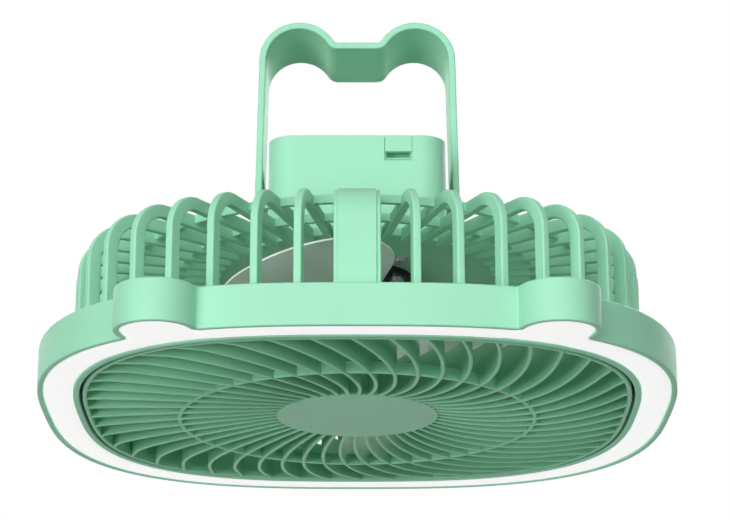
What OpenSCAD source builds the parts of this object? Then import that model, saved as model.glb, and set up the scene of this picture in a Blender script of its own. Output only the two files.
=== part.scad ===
// Portable camping fan: a square-round face with a light ring and a swirl grille, a ribbed
// guard behind it, a battery box on the guard's back plate and a folding bail handle.
// The origin is on the fan's axis in the plane of the face. +Z runs from the face to the
// handle, and -Y is the side with the two corner lobes and the battery cover's latch.

/* [Face frame] */
// Width of the face across its flat sides
face_w = 205; // [195:1:220]
// Squareness of every outline round the fan, where 2 is a circle
face_curve = 2.8; // [2.5:0.1:3.2]
// Height of the rim
rim_h = 13.2; // [12.4:0.2:16]
// Wall of the moulded rim
rim_wall = 1.8; // [1.5:0.1:2.1]
// Width of the light ring between the rim's wall and the air duct
light_w = 9.3; // [8.6:0.1:10]
// Wall of the air duct
duct_wall = 2; // [1.7:0.1:2.3]
// Radius of the two corner lobes
lobe_r = 12.5; // [11:0.5:14]
// Distance of each lobe from the fan's middle plane
lobe_x = 59; // [54:1:64]
// How far each lobe's centre stands outside the rim's outline
lobe_out = 0.9; // [0:0.1:3]

/* [Light ring] */
// Thickness of the diffuser
diffuser_t = 1.7; // [1.4:0.1:2.2]
// How far the diffuser is set back from the face
diffuser_inset = 0.3; // [0.2:0.1:0.6]
// Thickness of the LED boards
led_board_t = 1.2; // [1:0.1:1.6]
// Number of LEDs on each of the four boards
leds_per_board = 9; // [5:1:11]

/* [Swirl grille] */
// Radius of the grille's plain centre disc
grille_hub_r = 26.4; // [25.6:0.2:28]
// Number of swirl ribs
swirl_ribs = 48; // [40:1:54]
// Thickness of each swirl rib
swirl_t = 1.2; // [1:0.1:1.4]
// Depth of each swirl rib along the airflow, at the centre disc
swirl_depth = 10.2; // [8:0.2:10.4]
// How far the swirl ribs bow out of the face, halfway between the disc and the rim
swirl_bow = 2.1; // [0.5:0.1:2.5]
// Radius of the ring that ties the swirl ribs together
tie_ring_r = 58; // [50:0.5:65]
// Height of that ring
tie_ring_h = 3.8; // [3:0.2:7]
// Dark gap between the air duct and the grille's rim
grille_gap = 1; // [0.8:0.1:1.2]
// Thickness of the grille's flange, which the guard clamps
flange_t = 0.9; // [0.7:0.1:1]

/* [Guard] */
// Ledge between the edge of the rim and the guard's ribs
guard_ledge = 11; // [10.5:0.1:11.8]
// Height of the guard's back plate above the face
guard_h = 50; // [49:0.5:54]
// Radius of the bend where the ribs turn on to the back plate
guard_bend_r = 13; // [10:0.5:16]
// Width of each thin rib
rib_w = 2.5; // [2:0.1:3]
// Depth of each rib
rib_d = 4.2; // [3.8:0.1:4.3]
// Angle from the middle plane to the first thin rib
first_rib_angle = 11.1; // [10:0.1:13]
// Number of thin ribs on each side
ribs_per_side = 21; // [15:1:23]
// Width of the two wide ribs
wide_rib_w = 14.2; // [11:0.2:16]
// Width of the raised panel on each wide rib
panel_w = 11.6; // [8:0.2:12.6]
// Height of that panel above the rib
panel_t = 0.5; // [0.3:0.1:0.7]
// Radius of the guard's closed centre plate
centre_plate_r = 46.5; // [45:0.5:50]
// Thickness of the centre plate
centre_plate_t = 2.8; // [2.6:0.1:3.4]
// Radii of the two tie rings on the back plate
back_ring_r = [58.5, 75.2];
// Width of those tie rings
back_ring_w = 1.8; // [1.4:0.1:2.6]

/* [Impeller and motor] */
// Radius of the impeller at its blade tips
impeller_r = 80; // [74:0.5:82]
// Number of blades
blades = 3; // [2:1:4]
// Angle that each blade spans
blade_span = 53; // [45:1:58]
// Rise of each blade per degree of turn
blade_rise = 0.36; // [0.3:0.01:0.4]
// Thickness of the blades, measured along the axis
blade_t = 2; // [1.6:0.1:2.6]
// Radius of the impeller's hub
impeller_hub_r = 23.5; // [23:0.1:25]
// Radius of the motor's steel rotor can
can_r = 20; // [19.5:0.1:20.4]
// Wall of the rotor can
can_wall = 1.2; // [1:0.1:1.4]
// Radius of the stator
stator_r = 15.5; // [15:0.1:16]
// Radius of the motor's shaft
shaft_r = 1.5; // [1.25:0.05:1.6]
// Height of each motor bearing
bearing_h = 4; // [3:0.25:5]

/* [Battery box] */
// Width of the box
box_w = 57.8; // [56:0.2:62]
// Length of the two battery cells, which sets the depth of the box
cell_l = 65; // [64:0.5:71]
// Room between the button switches and the cradle of the cells, which sets the box's height
deck_room = 1; // [0.8:0.1:8]
// Radius of the box's upright corners
box_corner_r = 8.5; // [7:0.5:14]
// Wall of the box
box_wall = 2.4; // [2.2:0.1:2.5]
// Thickness of the battery cover
cover_t = 2.4; // [2.2:0.1:2.8]
// Width of the rim that stands round the cover
cover_rim = 1.3; // [1.1:0.1:1.5]
// Width of the cover's latch tab
latch_w = 8.7; // [6:0.1:10]
// Place of the latch tab to the right of the middle plane
latch_x = 13.3; // [8:0.1:14]
// Length of the latch tab below the top of the box
latch_h = 5.6; // [4:0.1:6.5]
// Height of the finger recess under the latch tab
recess_h = 3.1; // [2.4:0.1:3.4]

/* [Controls] */
// Radius of the two push buttons
button_r = 4; // [3.5:0.1:4.3]
// Travel of the two push buttons
button_travel = 0.8; // [0.6:0.1:1]
// Height of the buttons above the back plate
button_h = 8; // [7.8:0.1:8.2]
// Spacing of the power button, the light button and the charging socket
control_pitch = 10.5; // [10:0.1:11]

/* [Handle] */
// Depth of the handle's strap
handle_depth = 30.4; // [20:0.1:31]
// Thickness of the handle's strap
handle_t = 2.3; // [2:0.1:2.8]
// Room between the box and the handle's legs at the pivot
handle_room = 2.8; // [2.6:0.1:5]
// Height of the handle's humps above the face
handle_top = 133.9; // [130:0.1:145]
// Outer radius of each hump
hump_r = 13.4; // [12:0.1:15]
// How far each leg leans in between the pivot and its hump
leg_lean_in = 1; // [0.2:0.1:3]
// Depth of the hanging dip between the humps
dip_h = 7.3; // [5:0.1:9]
// Height of the handle's pivot above the face
pivot_z = 66; // [65:0.5:70]
// Radius of the shoulder screws that the handle turns on
pivot_r = 3; // [2.5:0.1:3.5]
// Thickness of the friction washers
washer_t = 1.1; // [0.8:0.1:1.4]

/* [Hidden] */

// Colours
mint = [0.70, 0.93, 0.81];
grille_green = [0.45, 0.70, 0.56];
blade_grey = [0.80, 0.81, 0.80];

// Clearances: between fixed pieces, round moving pieces, and of a turning fit
fit = 0.15;
gap = 0.3;
running = 0.05;
eps = 0.01;
round_fn = 64;
outline_steps = 96;

// Face frame
face_r = face_w / 2;
duct_r = face_r - rim_wall - light_w;
duct_in_r = duct_r - duct_wall;
guard_r = face_r - guard_ledge;
base_lip = 0.9;
base_r = guard_r + base_lip;
base_t = rim_wall;
seat_r = base_r + fit;
seat_z = rim_h - base_t;
step_r = seat_r + rim_wall;
lobe_y = -squircle_y(face_r, lobe_x) - lobe_out;

// Corner screws that hold the guard to the frame
ear_r = 5;
ear_out = 3.44;
ear_place = squircle_radius(base_r, 45) + ear_out;
ear_seat_t = rim_wall + 0.4;
boss_r = 3.2;
boss_drop = 7;
screw_r = 1.2;
pilot_r = screw_r + running;
hole_r = 1.5;
head_r = 2.5;
head_h = 1.5;
screw_l = 7;

// Light ring
led_board_top = seat_z - rim_wall;
led_board_z = led_board_top - led_board_t;
led_board_gap = 0.6;
led_board_w = 6.6;
led_corner_r = 13;
led_end_gap = 2.1;
led_row_shift = 0.6;
led_row_r = duct_r + led_board_gap + led_board_w / 2 + led_row_shift;
led_reach = ear_place * cos(45) - led_corner_r - led_end_gap;
led_size = [3.5, 2.8, 1];
diffuser_rib = 1.1;

// Swirl grille
grille_r = duct_in_r - grille_gap;
grille_wall = 1.4;
grille_in_r = grille_r - grille_wall;
flange_setback = 0.5;
flange_r = duct_r - flange_setback;
grille_z = 0.1;
swirl_z = 0.6;
swirl_top = swirl_z + swirl_depth;
hub_rise = 0.5;
hub_top = swirl_top + hub_rise;
swirl_arc_r = 63;
swirl_arc_place = 70.8;
first_swirl_angle = -61.3;
swirl_steps = 8;
bow_r = (grille_hub_r + grille_r) / 2;
bow_half = (grille_r - grille_hub_r) / 2;
bow_shape = 2.6;
tie_ring_setback = 0.3;
tie_ring_z = tie_ring_setback - swirl_bow;
hub_disc_t = 2;

// Guard
guard_in_r = grille_in_r + fit;
bend_steps = 6;
plate_z = guard_h - centre_plate_t;
rib_pitch = (180 - 2 * first_rib_angle) / (ribs_per_side - 1);
foot_h = 0.9;
rib_overlap = 1;

// Motor, from the face upwards
impeller_gap = 2.2;
impeller_z = swirl_top + impeller_gap;
hub_margin = 1.2;
impeller_hub_h = blade_span * blade_rise + blade_t + 2 * hub_margin;
impeller_floor = 2;
can_z = impeller_z + impeller_floor;
can_h = 20;
can_fit_r = can_r + fit;
magnet_r = can_r - can_wall - running;
air_gap = 0.5;
magnet_in_r = stator_r + air_gap;
rotor_boss_h = 2.5;
rotor_boss_t = 2;
bearing_r = 3.6;
bearing_recess = 0.2;
tube_wall = 1;
tube_r = bearing_r + tube_wall;
tube_z = can_z + can_wall + rotor_boss_h + gap;
core_rise = 3;
core_t = 3;
core_r = tube_r + core_t;
stator_z = tube_z + core_rise;
stator_h = 11;
stator_slots = 9;
tooth_w = 2.4;
tooth_shoe = 1.4;
slot_opening = 1.2;
coil_gap = 0.4;
coil_build = 0.9;
coil_overhang = 1.5;
coil_h = stator_h + 2 * coil_overhang;
magnet_h = 13;
magnet_z = stator_z + stator_h - magnet_h;
motor_base_t = 2;
motor_base_r = 19;
motor_screw_place = 15;
motor_screw_l = motor_base_t + 2;
motor_pilot_h = 2.3;
lead_hole_r = 3;
lead_hole_y = -26;
motor_base_z = plate_z - motor_base_t;
upper_bearing_z = motor_base_z - bearing_h - bearing_recess;
clip_t = 0.5;
clip_r = 3.1;
clip_groove = 0.4;
clip_z = upper_bearing_z + bearing_h + gap;
shaft_end_l = 0.6;
shaft_end_z = clip_z + clip_t + shaft_end_l;

// Blades
blade_rows = 6;
blade_columns = 14;
blade_root_r = can_fit_r + 1;
blade_flat = 0.42;
blade_corner = 26;
blade_camber = 6.9;
blade_middle_z = impeller_z + impeller_hub_h / 2;
first_blade_angle = -105;

// Battery box
contact_room = 4.2;
box_d = cell_l + 2 * box_wall + contact_room;
box_z = guard_h;
button_z = box_z + button_h;
switch_rise = 2.4;
switch_top = button_z + switch_rise;
cell_r = 9.15;
cell_room = 0.7;
contact_gap = 0.1;
cradle_t = 1.5;
cradle_z = switch_top + deck_room;
cell_z = cradle_z + cradle_t + contact_gap + cell_r;
cover_z = cell_z + cell_r + cell_room;
box_top = cover_z + cover_t;
box_h = box_top - box_z;
box_floor_t = 2;
box_floor = box_z + box_floor_t;
inner_w = box_w - 2 * box_wall;
inner_d = box_d - 2 * box_wall;
inner_corner_r = box_corner_r - box_wall;
front_y = -box_d / 2;
back_y = box_d / 2;
latch_t = 1.6;
recess_d = latch_t + fit;
hinge_r = cover_t / 2;
hinge_y = back_y - cover_rim - gap - hinge_r;
hinge_z = box_top - hinge_r;
hinge_l = 24;
hinge_lug_w = 2.4;
hinge_pin_r = 0.6;
pin_fit = 0.02;
hinge_pocket = 0.8;
cover_opening = 30;
cover_swing = hinge_r * sin(cover_opening);

// Inside the box
board_w = 39;
board_front_gap = 4.6;
board_back_gap = 4.6;
board_front_y = front_y + box_wall + board_front_gap;
board_back_y = back_y - box_wall - board_back_gap;
post_h = 3;
board_z = box_floor + post_h;
board_t = 1.6;
post_r = 3;
box_screw_x = 14;
box_screw_y = 22;
box_screw_l = 5.8;
pilot_room = 0.4;
box_pilot_l = box_screw_l - centre_plate_t + pilot_room;
board_screw_y = 10;
board_screw_l = 4;
small_screw_r = 0.9;
small_head_r = 1.7;
cell_cap_r = 3;
cell_cap_l = 1;
cell_gap = 0.45;
cell_x = cell_r + cell_gap;
contact_t = 0.4;
contact_back_y = back_y - box_wall - contact_gap - contact_t;
cell_y = contact_back_y - contact_gap - cell_l / 2;
cradle_side_gap = 2.4;
cradle_w = inner_w - 2 * cradle_side_gap;
cradle_back_gap = 2.6;
cradle_post_r = 1.4;
cradle_post_inset = 1.9;
cradle_post_x = cradle_w / 2 - cradle_post_inset;
cradle_post_y = 20;
saddle_h = 4;
saddle_t = 2;
contact_size = 9;
spring_wire_r = 0.35;
spring_r = 3.6;
spring_tip_r = 2;
spring_turns = 3.5;

// Controls
power_x = -control_pitch;
light_x = 0;
usb_x = control_pitch;
button_proud = 1;
button_collar_r = button_r + 0.7;
button_collar_t = 0.8;
button_hole_r = button_r + gap;
switch_w = 6;
switch_d = 3.6;
plunger_r = 1.2;
usb_w = 8.9;
usb_h = 3.2;
usb_l = 7.4;
usb_shell_t = 0.3;
usb_tongue = [6, 0.7];
usb_z = board_z + board_t + usb_h / 2;
lens_r = 0.9;
lens_x = (power_x + light_x) / 2;
lens_rise = 0.6;
lens_z = button_z + button_r + lens_rise;
lens_behind = 0.5;
lens_proud = 0.1;

// Handle
handle_foot_x = box_w / 2 + handle_room + handle_t;
hump_x = handle_foot_x - leg_lean_in - hump_r;
hump_z = handle_top - hump_r;
handle_lean = leg_lean_in / (hump_z - pivot_z);
dip_z = handle_top - dip_h;
fillet_r = 1.8;
fillet_x = hump_x - sqrt(pow(hump_r + fillet_r, 2) - pow(dip_z + fillet_r - hump_z, 2));
hump_end_angle = atan2(dip_z + fillet_r - hump_z, fillet_x - hump_x);
hump_steps = 18;
fillet_steps = 6;
leg_r = handle_depth / 2;
pivot_bore_r = pivot_r + running;
pivot_boss_r = 8;
pivot_head_r = 5.2;
pivot_head_t = 1.6;
pivot_thread_r = 1.6;
pivot_thread_l = 5;
inner_boss_r = 4.5;
inner_boss_t = 2;
washer_r = 6.5;
foot_inner_x = handle_foot_x - handle_t;
washer_x = foot_inner_x - gap - washer_r * handle_lean - washer_t;
pivot_head_x = handle_foot_x + gap + pivot_head_r * handle_lean;

// ---------- outlines ----------

// Distance from the axis to a squircle's edge, in the direction a
function squircle_radius(half, a) =
    half / pow(pow(abs(cos(a)), face_curve) + pow(abs(sin(a)), face_curve), 1 / face_curve);

// A squircle's half depth at the distance x from its middle plane
function squircle_y(half, x) =
    half * pow(1 - pow(abs(x) / half, face_curve), 1 / face_curve);

function squircle(half) =
    [for (i = [0:outline_steps - 1])
        let (a = 360 * i / outline_steps)
        squircle_radius(half, a) * [cos(a), sin(a)]];

// Outer half width of the handle's leg at the height z
function leg_x(z) = handle_foot_x - (z - pivot_z) * handle_lean;

module squircle_ring(outer, inner, h) {
    linear_extrude(h)
        difference() {
            polygon(squircle(outer));
            polygon(squircle(inner));
        }
}

// The face's outline with its two lobes, set in by an inset
module face_outline(inset) {
    polygon(squircle(face_r - inset));
    for (side = [-1, 1])
        translate([side * lobe_x, lobe_y])
            circle(r = lobe_r - inset, $fn = round_fn);
}

// A rectangle with round corners
module round_rect(w, d, r) {
    for (x = [-1, 1], y = [-1, 1])
        translate([x * (w / 2 - r), y * (d / 2 - r)])
            circle(r = r, $fn = round_fn);
    square([w - 2 * r, d], center = true);
    square([w, d - 2 * r], center = true);
}

// An upright screw: a round head whose underside is at z = 0, and a shank below it
module screw(shank_r, shank_l, screw_head_r, screw_head_h) {
    cylinder(r = screw_head_r, h = screw_head_h, $fn = 32);
    translate([0, 0, -shank_l])
        cylinder(r = shank_r, h = shank_l, $fn = 32);
}

module at_corners() {
    for (a = [45:90:315])
        rotate(a)
            translate([ear_place, 0])
                children();
}

// ---------- face ----------

// Moulded rim: an outer wall, a shelf behind it and the air duct, with a channel between
// them for the light ring, a seat for the guard and four screw bosses
module front_frame() {
    color(mint) {
        difference() {
            linear_extrude(rim_h)
                face_outline(0);
            translate([0, 0, -eps])
                linear_extrude(rim_h - rim_wall + eps)
                    difference() {
                        face_outline(rim_wall);
                        polygon(squircle(step_r));
                    }
            translate([0, 0, -eps])
                squircle_ring(step_r + eps, duct_r, led_board_top + eps);
            translate([0, 0, -eps])
                linear_extrude(rim_h + 2 * eps)
                    polygon(squircle(duct_in_r));
            translate([0, 0, seat_z])
                linear_extrude(rim_h)
                    polygon(squircle(seat_r));
            at_corners()
                translate([0, 0, seat_z])
                    cylinder(r = ear_r + fit, h = rim_h, $fn = round_fn);
            at_corners()
                cylinder(r = pilot_r, h = rim_h, $fn = 32);
        }
        at_corners()
            difference() {
                union() {
                    translate([0, 0, seat_z - boss_drop])
                        cylinder(r = boss_r, h = boss_drop, $fn = round_fn);
                    translate([0, 0, seat_z - ear_seat_t])
                        cylinder(r = ear_r + rim_wall, h = ear_seat_t, $fn = round_fn);
                }
                cylinder(r = pilot_r, h = rim_h, $fn = 32);
            }
    }
}

// White plate of the light ring, with two low ribs that hold the LED boards up
module light_diffuser() {
    color("white") {
        translate([0, 0, diffuser_inset])
            linear_extrude(diffuser_t)
                difference() {
                    face_outline(rim_wall + fit);
                    polygon(squircle(duct_r + fit));
                }
        translate([0, 0, diffuser_inset])
            squircle_ring(duct_r + fit + diffuser_rib, duct_r + fit, led_board_z - diffuser_inset);
    }
}

// Four straight LED boards, one along each side of the face, clear of the corner bosses
module led_boards() {
    color("ivory")
        translate([0, 0, led_board_z])
            linear_extrude(led_board_t)
                difference() {
                    polygon(squircle(duct_r + led_board_gap + led_board_w));
                    polygon(squircle(duct_r + led_board_gap));
                    at_corners()
                        circle(r = led_corner_r, $fn = round_fn);
                }
}

module led_chips() {
    color("lightyellow")
        for (side = [0:90:270], i = [0:leds_per_board - 1])
            let (x = led_reach * (2 * i / (leds_per_board - 1) - 1))
                rotate(side)
                    translate([x, squircle_y(led_row_r, x), led_board_z - led_size[2] / 2])
                        cube(led_size, center = true);
}

// ---------- swirl grille ----------

// Where a rib's arc is at a distance from the fan's axis, seen from the arc's own centre
function swirl_turn(r) =
    acos((r * r - swirl_arc_place * swirl_arc_place - swirl_arc_r * swirl_arc_r)
         / (2 * swirl_arc_place * swirl_arc_r));

// Point of the arc there, moved sideways, with the arc's centre on the X axis
function swirl_point(r, sideways) =
    let (a = swirl_turn(r))
    [swirl_arc_place, 0] + (swirl_arc_r + sideways) * [cos(a), sin(a)];

// Distance from the axis at which a rib that is turned by an angle ends inside the rim
function swirl_reach(turn, r = grille_r, tries = 6) =
    tries == 0 ? r
    : let (p = swirl_point(r, 0))
      swirl_reach(turn, squircle_radius(grille_r - grille_wall / 2, turn + atan2(p.y, p.x)),
                  tries - 1);

// Height of the ribs' lower edges, which bow out of the face between the disc and the rim
function swirl_low(r) =
    swirl_z - (swirl_z + swirl_bow) * max(0, 1 - pow(abs(r - bow_r) / bow_half, bow_shape));

// One swirl rib: an arc that leaves the centre disc square to it and curls towards the rim
module swirl_rib(turn) {
    root = grille_hub_r - grille_wall / 2;
    reach = swirl_reach(turn);
    side = swirl_t / 2;
    points = [
        for (i = [0:swirl_steps])
            let (r = root + (reach - root) * i / swirl_steps)
            for (corner = [[-side, swirl_low(r)], [side, swirl_low(r)], [side, swirl_top],
                           [-side, swirl_top]])
                let (p = swirl_point(r, corner.x))
                [p.x, p.y, corner.y]];
    walls = [
        for (i = [0:swirl_steps - 1], k = [0:3])
            let (a = 4 * i + k, b = 4 * i + (k + 1) % 4)
            each quad(a, a + 4, b + 4, b)];
    last = 4 * swirl_steps;
    rotate(turn)
        polyhedron(points, concat(quad(0, 1, 2, 3), walls,
                                  quad(last + 3, last + 2, last + 1, last)));
}

module front_grille() {
    wall_top = seat_z + flange_t;
    color(grille_green) {
        translate([0, 0, grille_z])
            squircle_ring(grille_r, grille_in_r, wall_top - grille_z);
        translate([0, 0, seat_z])
            squircle_ring(flange_r, grille_r - eps, flange_t);
        for (i = [0:swirl_ribs - 1])
            swirl_rib(first_swirl_angle + 360 * i / swirl_ribs);
        translate([0, 0, tie_ring_z])
            difference() {
                cylinder(r = tie_ring_r + grille_wall / 2, h = tie_ring_h, $fn = round_fn);
                translate([0, 0, -eps])
                    cylinder(r = tie_ring_r - grille_wall / 2, h = swirl_top, $fn = round_fn);
            }
        difference() {
            cylinder(r = grille_hub_r, h = hub_top, $fn = round_fn);
            translate([0, 0, hub_disc_t])
                cylinder(r = grille_hub_r - grille_wall, h = hub_top, $fn = round_fn);
        }
    }
}

// ---------- guard ----------

// One edge of a bent rib in the plane of the axis: up the side, round the bend and inwards
function rib_edge(reach, inset, foot_z) =
    concat([[reach - inset, foot_z]],
           [for (i = [0:bend_steps])
               let (a = 90 * i / bend_steps)
               [reach - guard_bend_r, guard_h - guard_bend_r]
               + (guard_bend_r - inset) * [cos(a), sin(a)]],
           [[centre_plate_r - rib_overlap, guard_h - inset]]);

module bent_rib(reach, width, outer_inset, foot_z) {
    outer_edge = rib_edge(reach, outer_inset, foot_z);
    inner_edge = rib_edge(reach, rib_d, foot_z);
    last = len(inner_edge) - 1;
    rotate([90, 0, 0])
        linear_extrude(width, center = true)
            polygon(concat(outer_edge, [for (i = [0:last]) inner_edge[last - i]]));
}

module thin_ribs() {
    for (side = [-1, 1], k = [0:ribs_per_side - 1])
        let (a = -90 + side * (first_rib_angle + k * rib_pitch))
            rotate(a)
                bent_rib(squircle_radius(guard_r, a), rib_w, 0, seat_z);
}

// The wide ribs in the middle of the front and the back, each with a raised panel
module wide_ribs() {
    for (a = [-90, 90])
        rotate(a) {
            bent_rib(guard_r, wide_rib_w, panel_t, seat_z);
            bent_rib(guard_r, panel_w, 0, rim_h + foot_h);
        }
}

module base_ring() {
    difference() {
        translate([0, 0, seat_z])
            squircle_ring(base_r, guard_in_r, base_t);
        translate([0, 0, seat_z - eps])
            linear_extrude(flange_t + eps)
                polygon(squircle(flange_r + fit));
    }
}

module rear_guard() {
    color(mint)
        difference() {
            union() {
                base_ring();
                thin_ribs();
                wide_ribs();
                for (r = back_ring_r)
                    translate([0, 0, plate_z])
                        difference() {
                            cylinder(r = r + back_ring_w / 2, h = centre_plate_t, $fn = round_fn);
                            translate([0, 0, -eps])
                                cylinder(r = r - back_ring_w / 2, h = guard_h, $fn = round_fn);
                        }
                translate([0, 0, plate_z])
                    cylinder(r = centre_plate_r, h = centre_plate_t, $fn = round_fn);
                at_corners()
                    translate([0, 0, seat_z])
                        cylinder(r = ear_r, h = base_t, $fn = round_fn);
            }
            translate([0, 0, seat_z - rim_h])
                linear_extrude(rim_h + flange_t)
                    polygon(squircle(flange_r + fit));
            at_corners()
                cylinder(r = hole_r, h = rim_h + 1, $fn = 32);
            for (x = [-1, 1], y = [-1, 1])
                translate([x * box_screw_x, y * box_screw_y, plate_z - 1])
                    cylinder(r = hole_r, h = guard_h, $fn = 32);
            for (a = [90:120:330])
                rotate(a)
                    translate([motor_screw_place, 0, plate_z - 1])
                        cylinder(r = pilot_r, h = motor_pilot_h + 1, $fn = 32);
            translate([0, lead_hole_y, plate_z - 1])
                cylinder(r = lead_hole_r, h = guard_h, $fn = 32);
        }
}

module guard_screws() {
    color("silver")
        at_corners()
            translate([0, 0, rim_h])
                screw(screw_r, screw_l, head_r, head_h);
}

// ---------- motor ----------

module at_motor_screws() {
    for (a = [90:120:330])
        rotate(a)
            translate([motor_screw_place, 0, 0])
                children();
}

// Flange under the guard's centre plate, with the tube that carries both bearings
module motor_base() {
    color("silver")
        difference() {
            union() {
                translate([0, 0, motor_base_z])
                    cylinder(r = motor_base_r, h = motor_base_t, $fn = round_fn);
                translate([0, 0, tube_z])
                    cylinder(r = tube_r, h = motor_base_z - tube_z + eps, $fn = round_fn);
            }
            translate([0, 0, tube_z - 1])
                cylinder(r = bearing_r, h = guard_h, $fn = round_fn);
            translate([0, 0, motor_base_z - 1])
                at_motor_screws()
                    cylinder(r = hole_r, h = motor_base_t + 2, $fn = 32);
        }
}

module motor_base_screws() {
    color("silver")
        translate([0, 0, motor_base_z])
            at_motor_screws()
                mirror([0, 0, 1])
                    screw(screw_r, motor_screw_l, head_r, head_h);
}

module motor_bearings() {
    color("darkgoldenrod")
        for (z = [tube_z + bearing_recess, upper_bearing_z])
            translate([0, 0, z])
                difference() {
                    cylinder(r = bearing_r, h = bearing_h, $fn = round_fn);
                    translate([0, 0, -eps])
                        cylinder(r = shaft_r + running, h = bearing_h + 1, $fn = round_fn);
                }
}

module stator_outline() {
    difference() {
        circle(r = core_r, $fn = round_fn);
        circle(r = tube_r + running, $fn = round_fn);
    }
    for (i = [0:stator_slots - 1])
        rotate(360 * i / stator_slots)
            translate([core_r - 1, -tooth_w / 2])
                square([stator_r - core_r, tooth_w]);
    difference() {
        circle(r = stator_r, $fn = round_fn);
        circle(r = stator_r - tooth_shoe, $fn = round_fn);
        for (i = [0:stator_slots - 1])
            rotate(360 * (i + 0.5) / stator_slots)
                translate([0, -slot_opening / 2])
                    square([stator_r + 1, slot_opening]);
    }
}

// Laminated core: a ring on the bearing tube with one T-shaped tooth for each coil
module stator_core() {
    color("dimgray")
        translate([0, 0, stator_z])
            linear_extrude(stator_h)
                stator_outline();
}

module stator_coils() {
    coil_l = stator_r - tooth_shoe - core_r - 2 * coil_gap;
    coil_w = tooth_w + 2 * coil_build;
    color("peru")
        for (i = [0:stator_slots - 1])
            rotate(360 * i / stator_slots)
                translate([core_r + coil_gap, -coil_w / 2, stator_z - coil_overhang])
                    difference() {
                        cube([coil_l, coil_w, coil_h]);
                        translate([-1, coil_build - running, coil_overhang - running])
                            cube([coil_l + 2, tooth_w + 2 * running, stator_h + 2 * running]);
                    }
}

// Steel cup of the outer rotor, with a boss that grips the shaft
module rotor_can() {
    color("lightsteelblue")
        difference() {
            translate([0, 0, can_z])
                cylinder(r = can_r, h = can_h, $fn = round_fn);
            translate([0, 0, can_z + can_wall])
                difference() {
                    cylinder(r = can_r - can_wall, h = can_h, $fn = round_fn);
                    cylinder(r = shaft_r + rotor_boss_t, h = rotor_boss_h, $fn = round_fn);
                }
            translate([0, 0, can_z - 1])
                cylinder(r = shaft_r, h = can_h, $fn = round_fn);
        }
}

module magnet_ring() {
    color("darkslategray")
        translate([0, 0, magnet_z])
            difference() {
                cylinder(r = magnet_r, h = magnet_h, $fn = round_fn);
                translate([0, 0, -eps])
                    cylinder(r = magnet_in_r, h = magnet_h + 1, $fn = round_fn);
            }
}

module motor_shaft() {
    color("gainsboro")
        difference() {
            translate([0, 0, can_z])
                cylinder(r = shaft_r, h = shaft_end_z - can_z, $fn = round_fn);
            translate([0, 0, clip_z])
                difference() {
                    cylinder(r = shaft_r + 1, h = clip_t, $fn = round_fn);
                    translate([0, 0, -eps])
                        cylinder(r = shaft_r - clip_groove, h = clip_t + 1, $fn = round_fn);
                }
        }
}

// Clip in the shaft's groove, which keeps the rotor from dropping out of its bearings
module shaft_clip() {
    color("silver")
        translate([0, 0, clip_z])
            difference() {
                cylinder(r = clip_r, h = clip_t, $fn = round_fn);
                translate([0, 0, -eps])
                    cylinder(r = shaft_r - clip_groove, h = clip_t + 1, $fn = round_fn);
            }
}

// ---------- impeller ----------

// The blade's reach across its span: a round tip corner at each end, where u goes from -1 to 1
function blade_reach(u) =
    let (t = max(0, (abs(u) - blade_flat) / (1 - blade_flat)))
    impeller_r - blade_corner * (1 - sqrt(1 - t * t));

// A point of the blade: u along its span, v from root to tip, side -1 or 1 for its two faces
function blade_point(u, v, side) =
    let (a = u * blade_span / 2, r = blade_root_r + v * (blade_reach(u) - blade_root_r))
    [r * cos(a), r * sin(a),
     blade_middle_z + a * blade_rise + blade_camber * (1 - u * u) * v + side * blade_t / 2];

function blade_index(i, j, side) =
    (side > 0 ? (blade_columns + 1) * (blade_rows + 1) : 0) + i * (blade_rows + 1) + j;

// Two triangles over four corners that run clockwise seen from outside
function quad(a, b, c, d) = [[a, b, c], [a, c, d]];

module blade() {
    points = [for (side = [-1, 1], i = [0:blade_columns], j = [0:blade_rows])
                 blade_point(-cos(180 * i / blade_columns), j / blade_rows, side)];
    skins = [for (i = [0:blade_columns - 1], j = [0:blade_rows - 1])
                each concat(quad(blade_index(i, j, 1), blade_index(i + 1, j, 1),
                                 blade_index(i + 1, j + 1, 1), blade_index(i, j + 1, 1)),
                            quad(blade_index(i, j, -1), blade_index(i, j + 1, -1),
                                 blade_index(i + 1, j + 1, -1), blade_index(i + 1, j, -1)))];
    root_and_tip = [for (i = [0:blade_columns - 1])
                       each concat(quad(blade_index(i, 0, -1), blade_index(i + 1, 0, -1),
                                        blade_index(i + 1, 0, 1), blade_index(i, 0, 1)),
                                   quad(blade_index(i, blade_rows, -1),
                                        blade_index(i, blade_rows, 1),
                                        blade_index(i + 1, blade_rows, 1),
                                        blade_index(i + 1, blade_rows, -1)))];
    edges = [for (j = [0:blade_rows - 1])
                each concat(quad(blade_index(0, j, -1), blade_index(0, j, 1),
                                 blade_index(0, j + 1, 1), blade_index(0, j + 1, -1)),
                            quad(blade_index(blade_columns, j, -1),
                                 blade_index(blade_columns, j + 1, -1),
                                 blade_index(blade_columns, j + 1, 1),
                                 blade_index(blade_columns, j, 1)))];
    polyhedron(points, concat(skins, root_and_tip, edges));
}

module impeller() {
    color(blade_grey) {
        difference() {
            translate([0, 0, impeller_z])
                cylinder(r = impeller_hub_r, h = impeller_hub_h, $fn = round_fn);
            translate([0, 0, can_z])
                cylinder(r = can_fit_r, h = guard_h, $fn = round_fn);
        }
        for (i = [0:blades - 1])
            rotate(first_blade_angle + 360 * i / blades)
                blade();
    }
}

// ---------- battery box ----------

module at_box_screws() {
    for (x = [-1, 1], y = [-1, 1])
        translate([x * box_screw_x, y * box_screw_y, 0])
            children();
}

module at_board_screws() {
    for (x = [-1, 1], y = [-1, 1])
        translate([x * box_screw_x, y * board_screw_y, 0])
            children();
}

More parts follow.
